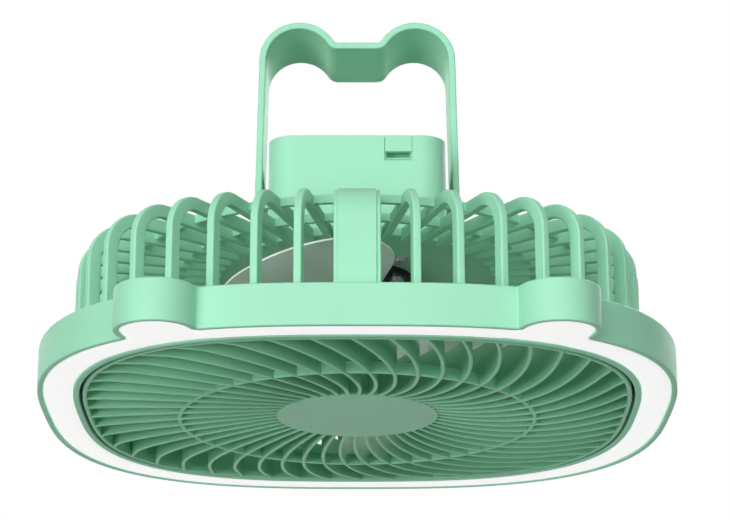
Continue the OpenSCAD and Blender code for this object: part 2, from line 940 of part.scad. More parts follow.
// Points children out of the box's button side, at the place x, z
module on_back(x, z) {
    translate([x, back_y, z])
        rotate([-90, 0, 0])
            children();
}

// Outline of the charging socket, grown on every side
module socket_outline(grow) {
    round_rect(usb_w + 2 * grow, usb_h + 2 * grow, usb_h / 2 + grow - eps);
}

module box_shell() {
    difference() {
        translate([0, 0, box_z])
            linear_extrude(box_h)
                round_rect(box_w, box_d, box_corner_r);
        translate([0, 0, box_floor])
            linear_extrude(box_h)
                round_rect(inner_w, inner_d, inner_corner_r);
        translate([0, 0, cover_z])
            linear_extrude(box_h)
                round_rect(box_w - 2 * cover_rim, box_d - 2 * cover_rim, box_corner_r - cover_rim);
    }
}

// Pockets and holes of the box's walls: hinge, latch, finger recess, buttons, socket, lens
module box_cuts() {
    translate([-hinge_l / 2 - hinge_lug_w - gap, hinge_y - hinge_r - 1, cover_z - hinge_pocket])
        cube([hinge_l + 2 * (hinge_lug_w + gap), hinge_r * 2 + 1 + gap, box_h]);
    translate([latch_x - latch_w / 2 - fit, front_y - 1, box_top - latch_h - recess_h])
        cube([latch_w + 2 * fit, recess_d + 1, box_h]);
    translate([latch_x - latch_w / 2 - fit, front_y - 1, cover_z])
        cube([latch_w + 2 * fit, cover_rim + 2, box_h]);
    for (x = [power_x, light_x])
        on_back(x, button_z)
            translate([0, 0, -box_wall - 1])
                cylinder(r = button_hole_r, h = box_wall + 2, $fn = round_fn);
    on_back(lens_x, lens_z)
        translate([0, 0, -box_wall - 1])
            cylinder(r = lens_r + running, h = box_wall + 2, $fn = 32);
    on_back(usb_x, usb_z)
        translate([0, 0, -box_wall - 1])
            linear_extrude(box_wall + 2)
                socket_outline(gap);
    at_box_screws()
        translate([0, 0, box_z - 1])
            cylinder(r = pilot_r, h = box_pilot_l + 1, $fn = 32);
    translate([0, lead_hole_y, box_z - 1])
        cylinder(r = lead_hole_r, h = box_floor_t + 2, $fn = 32);
}

module hinge_lugs() {
    for (side = [-1, 1])
        translate([side * (hinge_l / 2 + gap + hinge_lug_w / 2), 0, 0])
            rotate([90, 0, 90])
                linear_extrude(hinge_lug_w, center = true)
                    difference() {
                        union() {
                            translate([hinge_y, hinge_z])
                                circle(r = hinge_r, $fn = 32);
                            translate([hinge_y, hinge_z - hinge_r - hinge_pocket])
                                square([hinge_r + gap + eps, 2 * hinge_r + hinge_pocket]);
                        }
                        translate([hinge_y, hinge_z])
                            circle(r = hinge_pin_r + pin_fit, $fn = 32);
                    }
}

module box_posts() {
    difference() {
        union() {
            at_box_screws()
                translate([0, 0, box_floor - eps])
                    cylinder(r = post_r, h = board_z - box_floor + eps, $fn = 32);
            at_board_screws()
                translate([0, 0, box_floor - eps])
                    cylinder(r = post_r, h = board_z - box_floor + eps, $fn = 32);
        }
        at_box_screws()
            translate([0, 0, box_z - 1])
                cylinder(r = pilot_r, h = box_pilot_l + 1, $fn = 32);
        at_board_screws()
            translate([0, 0, board_z + board_t - board_screw_l - pilot_room])
                cylinder(r = small_screw_r + running, h = board_z, $fn = 32);
    }
}

// The pads that the handle's washers turn against, and the metal of the screws' threads
module pivot_bosses() {
    for (side = [0, 180])
        rotate(side)
            difference() {
                union() {
                    translate([box_w / 2 - eps, 0, pivot_z])
                        rotate([0, 90, 0])
                            cylinder(r = pivot_boss_r, h = washer_x - box_w / 2 + eps, $fn = round_fn);
                    translate([inner_w / 2 - inner_boss_t, 0, pivot_z])
                        rotate([0, 90, 0])
                            cylinder(r = inner_boss_r, h = inner_boss_t + eps, $fn = round_fn);
                }
                pivot_screw_hole();
            }
}

module pivot_screw_hole() {
    translate([washer_x - pivot_thread_l - pilot_room, 0, pivot_z])
        rotate([0, 90, 0])
            cylinder(r = pivot_thread_r + running, h = pivot_thread_l + 1, $fn = 32);
}

module battery_box() {
    color(mint) {
        difference() {
            box_shell();
            box_cuts();
            for (side = [0, 180])
                rotate(side)
                    pivot_screw_hole();
        }
        hinge_lugs();
        box_posts();
        pivot_bosses();
    }
}

module box_screws() {
    color("silver")
        at_box_screws()
            translate([0, 0, plate_z])
                mirror([0, 0, 1])
                    screw(screw_r, box_screw_l, head_r, head_h);
}

module cover_outline() {
    round_rect(box_w - 2 * (cover_rim + fit), box_d - 2 * (cover_rim + fit),
               box_corner_r - cover_rim - fit);
}

// Flush cover with a hinge barrel at the back and a latch tab over the front wall. Its back
// corners are set in by what they swing back as it opens.
module battery_cover() {
    color(mint)
        difference() {
            union() {
                translate([0, 0, cover_z])
                    linear_extrude(cover_t)
                        intersection() {
                            cover_outline();
                            translate([0, -cover_swing])
                                cover_outline();
                            translate([-box_w, hinge_y - 2 * box_d])
                                square([2 * box_w, 2 * box_d]);
                        }
                translate([-hinge_l / 2, hinge_y, hinge_z])
                    rotate([0, 90, 0])
                        cylinder(r = hinge_r, h = hinge_l, $fn = round_fn);
                translate([latch_x - latch_w / 2, front_y, box_top - latch_h])
                    cube([latch_w, latch_t, latch_h]);
                translate([latch_x - latch_w / 2, front_y, cover_z])
                    cube([latch_w, cover_rim + 1, cover_t]);
            }
            for (side = [-1, 1])
                translate([side * (hinge_l / 2 + hinge_lug_w / 2 + gap), hinge_y, box_top])
                    cube([hinge_lug_w + 2 * gap, 2 * (hinge_r + gap), 3 * cover_t], center = true);
            translate([-box_w / 2, hinge_y, hinge_z])
                rotate([0, 90, 0])
                    cylinder(r = hinge_pin_r + running, h = box_w, $fn = 32);
        }
}

module cover_hinge_pin() {
    pin_l = hinge_l + 2 * (gap + hinge_lug_w);
    color("silver")
        translate([-pin_l / 2, hinge_y, hinge_z])
            rotate([0, 90, 0])
                cylinder(r = hinge_pin_r, h = pin_l, $fn = 32);
}

// ---------- inside the box ----------

// Tray on four posts, with three saddles that the cells lie in
module cell_cradle() {
    cradle_front = front_y + box_wall + fit;
    cradle_back = back_y - box_wall - cradle_back_gap;
    color("white") {
        difference() {
            union() {
                translate([0, (cradle_front + cradle_back) / 2, cradle_z])
                    linear_extrude(cradle_t)
                        round_rect(cradle_w, cradle_back - cradle_front, inner_corner_r);
                for (y = [-cradle_post_y, 0, cradle_post_y])
                    translate([-cell_x - cell_r, y - saddle_t / 2, cradle_z])
                        cube([2 * (cell_x + cell_r), saddle_t, cradle_t + saddle_h]);
            }
            for (x = [-cell_x, cell_x])
                translate([x, -box_d, cell_z])
                    rotate([-90, 0, 0])
                        cylinder(r = cell_r + contact_gap, h = 2 * box_d, $fn = round_fn);
        }
        for (x = [-1, 1], y = [-1, 1])
            translate([x * cradle_post_x, y * cradle_post_y, box_floor])
                cylinder(r = cradle_post_r, h = cradle_z - box_floor + eps, $fn = 32);
    }
}

module battery_cells() {
    color("royalblue")
        for (side = [-1, 1])
            translate([side * cell_x, cell_y, cell_z])
                rotate([-90, 0, 0])
                    translate([0, 0, -cell_l / 2]) {
                        cylinder(r = cell_r, h = cell_l - cell_cap_l, $fn = round_fn);
                        cylinder(r = cell_cap_r, h = cell_l, $fn = 32);
                    }
}

// Conical coil spring along +Z, one tube of small sides swept round
module coil_spring(wide_r, narrow_r, height, turns, wire_r) {
    sides = 5;
    steps = 12;
    rings = round(turns * steps);
    points = [for (i = [0:rings], k = [0:sides - 1])
                 let (t = i / rings, a = 360 * turns * t, b = 360 * k / sides,
                      r = wide_r + (narrow_r - wide_r) * t + wire_r * cos(b))
                 [r * cos(a), r * sin(a), wire_r + (height - 2 * wire_r) * t + wire_r * sin(b)]];
    walls = [for (i = [0:rings - 1], k = [0:sides - 1])
                each quad(i * sides + k, i * sides + (k + 1) % sides,
                          (i + 1) * sides + (k + 1) % sides, (i + 1) * sides + k)];
    start_cap = [for (k = [0:sides - 1]) sides - 1 - k];
    end_cap = [for (k = [0:sides - 1]) rings * sides + k];
    polyhedron(points, concat(walls, [start_cap, end_cap]));
}

module contact_springs() {
    cell_front = cell_y - cell_l / 2;
    plate_y = front_y + box_wall + contact_gap;
    spring_l = cell_front - plate_y - contact_t;
    color("silver")
        for (side = [-1, 1])
            translate([side * cell_x, plate_y, cell_z]) {
                translate([-contact_size / 2, 0, -contact_size / 2])
                    cube([contact_size, contact_t, contact_size]);
                translate([0, contact_t - running, 0])
                    rotate([-90, 0, 0])
                        coil_spring(spring_r, spring_tip_r, spring_l, spring_turns, spring_wire_r);
            }
}

module contact_plates() {
    color("silver")
        for (side = [-1, 1])
            translate([side * cell_x - contact_size / 2, contact_back_y, cell_z - contact_size / 2])
                cube([contact_size, contact_t, contact_size]);
}

module control_board() {
    color("darkgreen")
        translate([0, 0, board_z])
            linear_extrude(board_t)
                difference() {
                    translate([-board_w / 2, board_front_y])
                        square([board_w, board_back_y - board_front_y]);
                    at_board_screws()
                        circle(r = small_screw_r + fit, $fn = 32);
                }
}

module board_screws() {
    color("silver")
        at_board_screws()
            translate([0, 0, board_z + board_t])
                screw(small_screw_r, board_screw_l, small_head_r, head_h);
}

// Two side-pressed switches that stand on the board behind the buttons
module button_switches() {
    button_rest = back_y - box_wall - gap - button_collar_t - gap;
    color("dimgray")
        for (x = [power_x, light_x]) {
            translate([x - switch_w / 2, board_back_y - switch_d, board_z + board_t])
                cube([switch_w, switch_d, switch_top - board_z - board_t]);
            translate([x, board_back_y - eps, button_z])
                rotate([-90, 0, 0])
                    cylinder(r = plunger_r, h = button_rest - button_travel - board_back_y, $fn = 32);
        }
}

module usb_socket() {
    color("silver")
        translate([usb_x, back_y - box_wall, usb_z])
            rotate([90, 0, 0]) {
                difference() {
                    linear_extrude(usb_l)
                        socket_outline(0);
                    translate([0, 0, -1])
                        linear_extrude(usb_l)
                            socket_outline(-usb_shell_t);
                }
                linear_extrude(usb_l - eps)
                    square(usb_tongue, center = true);
            }
}

module indicator_lens() {
    color("white")
        on_back(lens_x, lens_z)
            translate([0, 0, -box_wall - lens_behind])
                cylinder(r = lens_r, h = box_wall + lens_behind + lens_proud, $fn = 32);
}

// A push button: a cap through the wall and a collar behind it
module push_button(x) {
    color("white")
        on_back(x, button_z) {
            translate([0, 0, -box_wall - gap])
                cylinder(r = button_r, h = box_wall + gap + button_proud, $fn = round_fn);
            translate([0, 0, -box_wall - gap - button_collar_t])
                cylinder(r = button_collar_r, h = button_collar_t, $fn = round_fn);
        }
}

module power_button() {
    push_button(power_x);
}

module light_button() {
    push_button(light_x);
}

// ---------- handle ----------

// Right half of the strap's outline, from the foot of the leg round the hump to the dip
function handle_half(inset) =
    concat([[leg_x(pivot_z - 2 * leg_r) - inset, pivot_z - 2 * leg_r]],
           [for (i = [0:hump_steps])
               let (a = hump_end_angle * i / hump_steps)
               [hump_x, hump_z] + (hump_r - inset) * [cos(a), sin(a)]],
           [for (i = [1:fillet_steps])
               let (a = hump_end_angle - 180 - (hump_end_angle - 90) * i / fillet_steps)
               [fillet_x, dip_z + fillet_r] + (fillet_r + inset) * [cos(a), sin(a)]]);

function mirrored(points) =
    [for (i = [len(points) - 1:-1:0]) [-points[i][0], points[i][1]]];

module strap_outline() {
    outer_side = concat(handle_half(0), mirrored(handle_half(0)));
    inner_side = concat(handle_half(handle_t), mirrored(handle_half(handle_t)));
    last = len(inner_side) - 1;
    polygon(concat(outer_side, [for (i = [0:last]) inner_side[last - i]]));
}

module handle() {
    color(mint)
        difference() {
            intersection() {
                rotate([90, 0, 0])
                    linear_extrude(handle_depth, center = true)
                        strap_outline();
                rotate([90, 0, 90])
                    linear_extrude(4 * handle_foot_x, center = true) {
                        translate([0, pivot_z])
                            circle(r = leg_r, $fn = round_fn);
                        translate([-leg_r, pivot_z])
                            square([handle_depth, handle_top - pivot_z + 1]);
                    }
            }
            translate([-2 * handle_foot_x, 0, pivot_z])
                rotate([0, 90, 0])
                    cylinder(r = pivot_bore_r, h = 4 * handle_foot_x, $fn = round_fn);
        }
}

module pivot_screws() {
    color("silver")
        for (side = [0, 180])
            rotate(side)
                translate([0, 0, pivot_z])
                    rotate([0, 90, 0]) {
                        translate([0, 0, washer_x - pivot_thread_l])
                            cylinder(r = pivot_thread_r, h = pivot_thread_l + eps, $fn = 32);
                        translate([0, 0, washer_x])
                            cylinder(r = pivot_r, h = pivot_head_x - washer_x + eps, $fn = round_fn);
                        translate([0, 0, pivot_head_x])
                            cylinder(r = pivot_head_r, h = pivot_head_t, $fn = round_fn);
                    }
}

module friction_washers() {
    color("dimgray")
        for (side = [0, 180])
            rotate(side)
                translate([washer_x, 0, pivot_z])
                    rotate([0, 90, 0])
                        difference() {
                            cylinder(r = washer_r, h = washer_t, $fn = round_fn);
                            translate([0, 0, -eps])
                                cylinder(r = pivot_r + running, h = washer_t + 1, $fn = round_fn);
                        }
}

front_frame();
light_diffuser();
led_boards();
led_chips();
front_grille();
rear_guard();
guard_screws();
motor_base();
motor_base_screws();
stator_core();
stator_coils();
motor_bearings();
impeller();
rotor_can();
magnet_ring();
motor_shaft();
shaft_clip();
battery_box();
box_screws();
cell_cradle();
battery_cells();
contact_springs();
contact_plates();
control_board();
board_screws();
button_switches();
usb_socket();
indicator_lens();
battery_cover();
cover_hinge_pin();
power_button();
light_button();
handle();
pivot_screws();
friction_washers();
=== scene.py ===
import math

import bmesh
import bpy
import numpy as np
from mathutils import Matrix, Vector

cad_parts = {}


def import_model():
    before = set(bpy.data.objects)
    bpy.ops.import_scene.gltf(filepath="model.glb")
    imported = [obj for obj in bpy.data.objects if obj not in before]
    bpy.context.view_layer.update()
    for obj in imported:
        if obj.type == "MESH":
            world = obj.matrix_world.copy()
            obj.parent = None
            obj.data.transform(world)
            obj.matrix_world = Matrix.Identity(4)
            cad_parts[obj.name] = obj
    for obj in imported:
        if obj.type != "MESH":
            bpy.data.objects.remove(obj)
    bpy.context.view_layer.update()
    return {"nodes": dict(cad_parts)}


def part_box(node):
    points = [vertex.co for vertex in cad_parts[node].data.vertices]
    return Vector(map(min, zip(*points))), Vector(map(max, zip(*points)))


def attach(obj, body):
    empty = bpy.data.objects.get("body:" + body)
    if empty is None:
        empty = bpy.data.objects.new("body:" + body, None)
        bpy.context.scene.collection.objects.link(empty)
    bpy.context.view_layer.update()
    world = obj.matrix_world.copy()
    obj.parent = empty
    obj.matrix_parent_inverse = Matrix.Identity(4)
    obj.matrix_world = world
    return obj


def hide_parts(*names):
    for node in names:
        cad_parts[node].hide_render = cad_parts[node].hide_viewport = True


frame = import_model()

# The pieces are worked out in millimetres, and MM turns them into Blender's metres. The stage,
# the lamps and the camera are in metres.
MM = 0.001

# ---------- sizes ----------

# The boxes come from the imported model, and most of the other sizes are those of its source.
# Angles are in degrees.


def node_box(node):
    """Lowest and highest corner of a CAD node, in millimetres"""
    low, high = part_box(node)
    return np.array(low) / MM, np.array(high) / MM


frame_low, frame_high = node_box("front_frame")
grille_low, grille_high = node_box("front_grille")
handle_low, handle_high = node_box("handle")
impeller_low, impeller_high = node_box("impeller")
guard_high = node_box("rear_guard")[1]
can_high = node_box("rotor_can")[1]
screw_high = node_box("guard_screws")[1]
box_low = node_box("battery_box")[0]
cover_high = node_box("battery_cover")[1]

# Gap between two pieces that fit into each other
fit = 0.15
# Radius at which the profile of a disc starts, so that its middle closes
AXIS = 0.005
# Points round a full turn of a small, a middle and a large round form, and of a squircle
SMALL, MIDDLE, LARGE, SQUIRCLE = 48, 128, 160, 256

# Face. A squircle's sides follow x ** CURVE + y ** CURVE = half ** CURVE.
CURVE = 2.8
face_r = frame_high[0]
rim_h = frame_high[2]
rim_wall = 1.8
light_w = 9.3
duct_r = face_r - rim_wall - light_w
duct_wall = 2
duct_in_r = duct_r - duct_wall
base_r = guard_high[0]
seat_r = base_r + fit
seat_z = rim_h - rim_wall
step_r = seat_r + rim_wall
shelf_z = seat_z - rim_wall
lobe_r = 12.5
lobe_x = 59
lobe_y = frame_low[1] + lobe_r
lobe_fillet = 0.8

# Corner screws of the guard
screw_head_r = 2.5
ear_angle = 45
ear_place = (screw_high[0] - screw_head_r) / math.cos(math.radians(ear_angle))
ear_r = 5
ear_seat_r = ear_r + rim_wall
boss_r = 3.2
boss_z = 4.4

# Grille. Its ribs follow arcs whose centres lie swirl_arc_place from the axis, and they bow
# out of the face most at bow_r.
grille_gap = 1
grille_r = duct_in_r - grille_gap
grille_wall = 1.4
flange_t = 0.9
flange_r = grille_high[0]
swirl_ribs = 48
swirl_t = 1.2
grille_z = 0.1
swirl_top = 10.8
hub_top_z = 11.3
hub_face_t = 2
swirl_bow = -grille_low[2]
swirl_arc_r = 63
swirl_arc_place = 70.8
first_swirl_angle = -61.3
grille_hub_r = 26.4
bow_r = (grille_hub_r + grille_r) / 2
bow_half = (grille_r - grille_hub_r) / 2
tie_ring_r = 58
tie_ring_setback = 0.3
tie_ring_z = tie_ring_setback - swirl_bow
tie_ring_h = 3.8

# Guard. Two wide ribs stand at the front and back, and thin ones from first_rib_angle beside
# them.
rib_setback = 0.9
guard_r = base_r - rib_setback
guard_h = guard_high[2]
guard_in_r = grille_r - grille_wall + fit
bend_r = 13
rib_w = 2.5
rib_d = 4.2
first_rib_angle = 11.1
ribs_per_side = 21
wide_rib_w = 14.2
panel_w = 11.6
panel_t = 0.5
plate_r = 46.5
plate_t = 2.8
back_rings = (58.5, 75.2)
back_ring_w = 1.8

# Impeller. A blade rises by blade_rise for each degree of its span. Its tip keeps its full
# reach over the share blade_flat of the span and falls off by blade_corner beyond it.
impeller_r = 80
blades = 3
blade_span = 53
blade_rise = 0.36
blade_t = 2.0
blade_camber = 6.9
blade_flat = 0.42
blade_corner = 26
first_blade_angle = -105
hub_r = 23.5
can_fit_r = can_high[0] + fit
hub_top = impeller_high[2]
hub_z = impeller_low[2]
hub_floor = 2
blade_middle_z = (hub_z + hub_top) / 2

# Handle. Two humps of hump_r stand beside a dip that hangs dip_h below their tops.
handle_t = 2.3
handle_foot_x = 34
leg_r = handle_high[1]
handle_top = handle_high[2]
pivot_z = handle_low[2] + leg_r
pivot_bore_r = 3.05
hump_r = 13.4
hump_x = 19.6
dip_h = 7.3
dip_fillet = 1.8

# Latch on the battery box
latch_x = 13.3
latch_front = box_low[1]
latch_h = 5.6
latch_z = cover_high[2] - latch_h
recess_h = 3.1
recess_d = 1.75
recess_half = 4.5
pocket_half = 3.8
pocket_d = 5
pocket_low = 1.8
pocket_high = 2.2
pocket_lining = 0.5

# Edges that are sharper than this are shaded as edges and get a bevel
SHARP = 35


# ---------- meshes ----------


class Shells:
    """Vertices and faces of one piece, in millimetres, gathered from closed shells"""

    def __init__(self):
        self.points = []
        self.faces = []

    def add(self, points, faces):
        base = len(self.points)
        self.points += [tuple(float(c) for c in p) for p in points]
        self.faces += [[base + i for i in f] for f in faces]

    def loft(self, loops, closed=False, strip_ends=False):
        """Skins a row of loops that have as many points each. Its ends are closed by a face,
        by strips that join each loop's two halves, or by each other."""
        n = len(loops[0])
        rows = len(loops)
        faces = []
        for i in range(rows if closed else rows - 1):
            a, b = i * n, (i + 1) % rows * n
            faces += [[a + k, a + (k + 1) % n, b + (k + 1) % n, b + k] for k in range(n)]
        if not closed and strip_ends:
            for start in (0, (rows - 1) * n):
                faces += [[start + k, start + k + 1, start + n - 2 - k, start + n - 1 - k]
                          for k in range(n // 2 - 1)]
        elif not closed:
            faces += [list(range(n)), list(range((rows - 1) * n, rows * n))]
        self.add([p for loop in loops for p in loop], faces)

    def mesh(self, name):
        mesh = bpy.data.meshes.new(name)
        mesh.from_pydata([(x * MM, y * MM, z * MM) for x, y, z in self.points], [], self.faces)
        bm = bmesh.new()
        bm.from_mesh(mesh)
        bmesh.ops.remove_doubles(bm, verts=bm.verts, dist=1e-7)
        bmesh.ops.recalc_face_normals(bm, faces=bm.faces)
        bm.to_mesh(mesh)
        bm.free()
        return mesh

    def carve(self, cutter):
        """Takes the room of other shells away"""
        mesh = carved(self.mesh("whole"), cutter)
        self.points = [tuple(v.co / MM) for v in mesh.vertices]
        self.faces = [list(face.vertices) for face in mesh.polygons]
        bpy.data.meshes.remove(mesh)

    def piece(self, name, body, material, slot, *replaced):
        """Turns the shells into an object that rides on a body and stands for CAD nodes"""
        finish_piece(name, self.mesh(name), body, material, replaced)


def carved(mesh, cutter):
    """A mesh less the room of a cutter's shells, in the mesh's place"""
    scene = bpy.context.scene.collection
    whole = bpy.data.objects.new("whole", mesh)
    tool = bpy.data.objects.new("tool", cutter.mesh("tool"))
    scene.objects.link(whole)
    scene.objects.link(tool)
    cut = whole.modifiers.new("cut", "BOOLEAN")
    cut.object = tool
    cut.solver = "EXACT"
    seen = whole.evaluated_get(bpy.context.evaluated_depsgraph_get())
    result = bpy.data.meshes.new_from_object(seen)
    for used in (whole, tool):
        data = used.data
        bpy.data.objects.remove(used)
        bpy.data.meshes.remove(data)
    return result


def finish_piece(name, mesh, body, material, replaced):
    """Shades a mesh, keeps its flat faces flat beside rounded edges and sets it on its body"""
    mesh.polygons.foreach_set("use_smooth", [True] * len(mesh.polygons))
    mesh.set_sharp_from_angle(angle=math.radians(SHARP))
    mesh.materials.append(material)
    piece = bpy.data.objects.new(name, mesh)
    bpy.context.scene.collection.objects.link(piece)
    weighted = piece.modifiers.new("flat_faces", "WEIGHTED_NORMAL")
    weighted.keep_sharp = True
    weighted.weight = 100
    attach(piece, body)
    if replaced:
        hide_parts(*replaced)


def rounded(points, radius, steps=3):
    """A closed 2-D outline with its corners turned into arcs. radius is one number, or one
    for each corner. steps is the number of faces in an arc."""
    almost_straight = math.radians(89.5)
    longest_cut = 0.49
    radii = radius if hasattr(radius, "__len__") else [radius] * len(points)
    outline = []
    for i, corner in enumerate(points):
        p = Vector(corner)
        a = Vector(points[i - 1]) - p
        b = Vector(points[(i + 1) % len(points)]) - p
        half = a.angle(b) / 2
        if radii[i] <= 0 or half > almost_straight:
            outline.append(tuple(p))
            continue
        cut = min(radii[i] / math.tan(half), longest_cut * a.length, longest_cut * b.length)
        r = cut * math.tan(half)
        centre = p + (a.normalized() + b.normalized()).normalized() * r / math.sin(half)
        start = p + a.normalized() * cut - centre
        end = p + b.normalized() * cut - centre
        turn = start.angle(end)
        for k in range(steps + 1):
            t = k / steps
            w0 = math.sin((1 - t) * turn) / math.sin(turn)
            w1 = math.sin(t * turn) / math.sin(turn)
            outline.append(tuple(centre + start * w0 + end * w1))
    return outline


def rounded_rows(rows, steps=3):
    """An outline from rows of (across, up, corner radius)"""
    return rounded([(u, v) for u, v, _ in rows], [radius for _, _, radius in rows], steps)


def box_outline(x0, y0, x1, y1):
    return [(x0, y0), (x1, y0), (x1, y1), (x0, y1)]


def squircle_radius(half, angle):
    """Distance from the axis to a squircle's edge, in the direction angle, in radians"""
    c, s = np.abs(np.cos(angle)), np.abs(np.sin(angle))
    return half / (c ** CURVE + s ** CURVE) ** (1 / CURVE)


def squircle(half, angles):
    r = squircle_radius(half, angles)
    return np.stack([r * np.cos(angles), r * np.sin(angles)], 1)


def at_height(outline, z):
    return [(p[0], p[1], z) for p in outline]


def turned(points, degrees):
    """Points turned about the fan's axis"""
    a = math.radians(degrees)
    c, s = math.cos(a), math.sin(a)
    return [(x * c - y * s, x * s + y * c, z) for x, y, z in points]


def revolve(shells, profile, steps, centre=(0, 0)):
    """A ring or, where the profile touches the axis, a disc. profile is (radius, z) points."""
    angles = np.linspace(0, 2 * math.pi, steps, endpoint=False)
    loops = [[(centre[0] + r * math.cos(a), centre[1] + r * math.sin(a), z) for a in angles]
             for r, z in profile]
    touches_axis = profile[0][0] < 2 * AXIS
    shells.loft(loops, closed=not touches_axis)


def hoop(shells, r, width, low, high, edge_r):
    """A ring of rectangular section with rounded edges, about the fan's axis"""
    outline = box_outline(r - width / 2, low, r + width / 2, high)
    revolve(shells, rounded(outline, edge_r), LARGE)


def squircle_band(shells, rows):
    """A closed squircle wall. rows are (half width, z, corner radius) of its section."""
    angles = np.linspace(0, 2 * math.pi, SQUIRCLE, endpoint=False)
    shells.loft([at_height(squircle(u, angles), z) for u, z in rounded_rows(rows)], closed=True)


# ---------- materials ----------


def srgb(code):
    """A colour written as #rrggbb, as the shader's linear numbers"""
    parts = [int(code[i:i + 2], 16) / 255 for i in (1, 3, 5)]
    return [c / 12.92 if c <= 0.04045 else ((c + 0.055) / 1.055) ** 2.4 for c in parts] + [1.0]


def scaled(colour, factor):
    return [min(1.0, c * factor) for c in colour[:3]] + [1.0]


class Finish:
    """A node material with a Principled shader and the helpers to vary it"""

    # The middle part of a noise texture's range, where nearly all of its values are
    NOISE_LOW, NOISE_HIGH = 0.3, 0.7
    NOISE_DETAIL = 2.0

    def __init__(self, name, colour, roughness, metallic=0.0):
        self.material = bpy.data.materials.new(name)
        self.material.use_nodes = True
        self.nodes = self.material.node_tree.nodes
        self.links = self.material.node_tree.links
        self.shader = self.nodes["Principled BSDF"]
        self.colour = srgb(colour)
        self.shader.inputs["Base Color"].default_value = self.colour
        self.shader.inputs["Roughness"].default_value = roughness
        self.shader.inputs["Metallic"].default_value = metallic
        self.place = self.nodes.new("ShaderNodeTexCoord")
        self.roughness = roughness

    def noise(self, scale, stretch=(1, 1, 1)):
        mapping = self.nodes.new("ShaderNodeMapping")
        mapping.inputs["Scale"].default_value = stretch
        self.links.new(self.place.outputs["Object"], mapping.inputs["Vector"])
        texture = self.nodes.new("ShaderNodeTexNoise")
        texture.inputs["Scale"].default_value = scale
        texture.inputs["Detail"].default_value = self.NOISE_DETAIL
        self.links.new(mapping.outputs["Vector"], texture.inputs["Vector"])
        return texture.outputs["Fac"]

    def vary_colour(self, factor, amount):
        """Moves the colour up and down by a share of itself, following a texture"""
        ramp = self.nodes.new("ShaderNodeValToRGB")
        ramp.color_ramp.elements[0].position = self.NOISE_LOW
        ramp.color_ramp.elements[1].position = self.NOISE_HIGH
        ramp.color_ramp.elements[0].color = scaled(self.colour, 1 - amount)
        ramp.color_ramp.elements[1].color = scaled(self.colour, 1 + amount)
        self.links.new(factor, ramp.inputs["Fac"])
        self.links.new(ramp.outputs["Color"], self.shader.inputs["Base Color"])

    def vary_roughness(self, factor, amount):
        span = self.nodes.new("ShaderNodeMapRange")
        span.inputs["From Min"].default_value = self.NOISE_LOW
        span.inputs["From Max"].default_value = self.NOISE_HIGH
        span.inputs["To Min"].default_value = self.roughness - amount
        span.inputs["To Max"].default_value = self.roughness + amount
        self.links.new(factor, span.inputs["Value"])
        self.links.new(span.outputs["Result"], self.shader.inputs["Roughness"])

    def bump(self, factor, strength, depth_mm):
        bump = self.nodes.new("ShaderNodeBump")
        bump.inputs["Strength"].default_value = strength
        bump.inputs["Distance"].default_value = depth_mm * MM
        self.links.new(factor, bump.inputs["Height"])
        self.links.new(bump.outputs["Normal"], self.shader.inputs["Normal"])


def moulded(name, colour, roughness=0.42, tone=0.02, grain=0.25):
    """Satin injection-moulded plastic: fine spark-erosion grain and faint flow marks"""
    flow_scale, sheen_scale, grain_scale = 22, 140, 1600
    sheen, grain_mm, specular = 0.05, 0.02, 0.3
    finish = Finish(name, colour, roughness)
    finish.shader.inputs["Specular IOR Level"].default_value = specular
    finish.vary_colour(finish.noise(flow_scale), tone)
    finish.vary_roughness(finish.noise(sheen_scale), sheen)
    finish.bump(finish.noise(grain_scale), grain, grain_mm)
    return finish


def metal(name, colour, roughness, stretch=(1, 1, 30)):
    """Metal with fine lines along one direction"""
    stain_scale, line_scale = 180, 900
    stain, sheen, line_strength, line_mm = 0.06, 0.08, 0.15, 0.01
    finish = Finish(name, colour, roughness, metallic=1.0)
    finish.vary_colour(finish.noise(stain_scale), stain)
    lines = finish.noise(line_scale, stretch)
    finish.vary_roughness(lines, sheen)
    finish.bump(lines, line_strength, line_mm)
    return finish


def lit_diffuser():
    """Milky white plastic that passes and gives off a little light"""
    scatter, scatter_mm, glow = 0.2, 3, 0.5
    finish = moulded("diffuser_plastic", "#f6f6f4", 0.35, tone=0.01, grain=0.1)
    finish.shader.inputs["Subsurface Weight"].default_value = scatter
    finish.shader.inputs["Subsurface Radius"].default_value = (scatter_mm * MM,) * 3
    finish.shader.inputs["Emission Color"].default_value = srgb("#ffffff")
    finish.shader.inputs["Emission Strength"].default_value = glow
    return finish


MINT = moulded("mint_plastic", "#a0e3c1", 0.5).material
# Painted shade: the grille is the mint plastic made darker. The darkening stands in for the
# shade on its downward-facing ribs.
GRILLE_PAINTED_SHADE = moulded("grille_plastic", "#8fd4ae", tone=0.03).material
DIFFUSER = lit_diffuser().material
BLADE = moulded("blade_plastic", "#f0f1ef", 0.4, tone=0.02).material
BUTTON = moulded("button_plastic", "#eef0ed", 0.38).material
NYLON = moulded("cradle_nylon", "#e6e5dc", 0.5, tone=0.04).material
SWITCH = moulded("switch_plastic", "#26272a", 0.4).material
WASHER = moulded("washer_nylon", "#dbe8e0", 0.5).material
LENS = moulded("lens_plastic", "#eef2ee", 0.15, grain=0.02).material
LAMINATE = moulded("board_laminate", "#dbdac9", 0.45, tone=0.04).material
CONTROL = moulded("control_laminate", "#0f5a31", 0.35, tone=0.12).material
RESIN = moulded("led_resin", "#efe6a0", 0.3, tone=0.04).material
WRAP = moulded("cell_wrap", "#2a56ae", 0.25, tone=0.05, grain=0.05).material
SCREW = metal("screw_steel", "#b9bcc0", 0.32).material
CAN = metal("can_steel", "#c2c6ca", 0.28).material
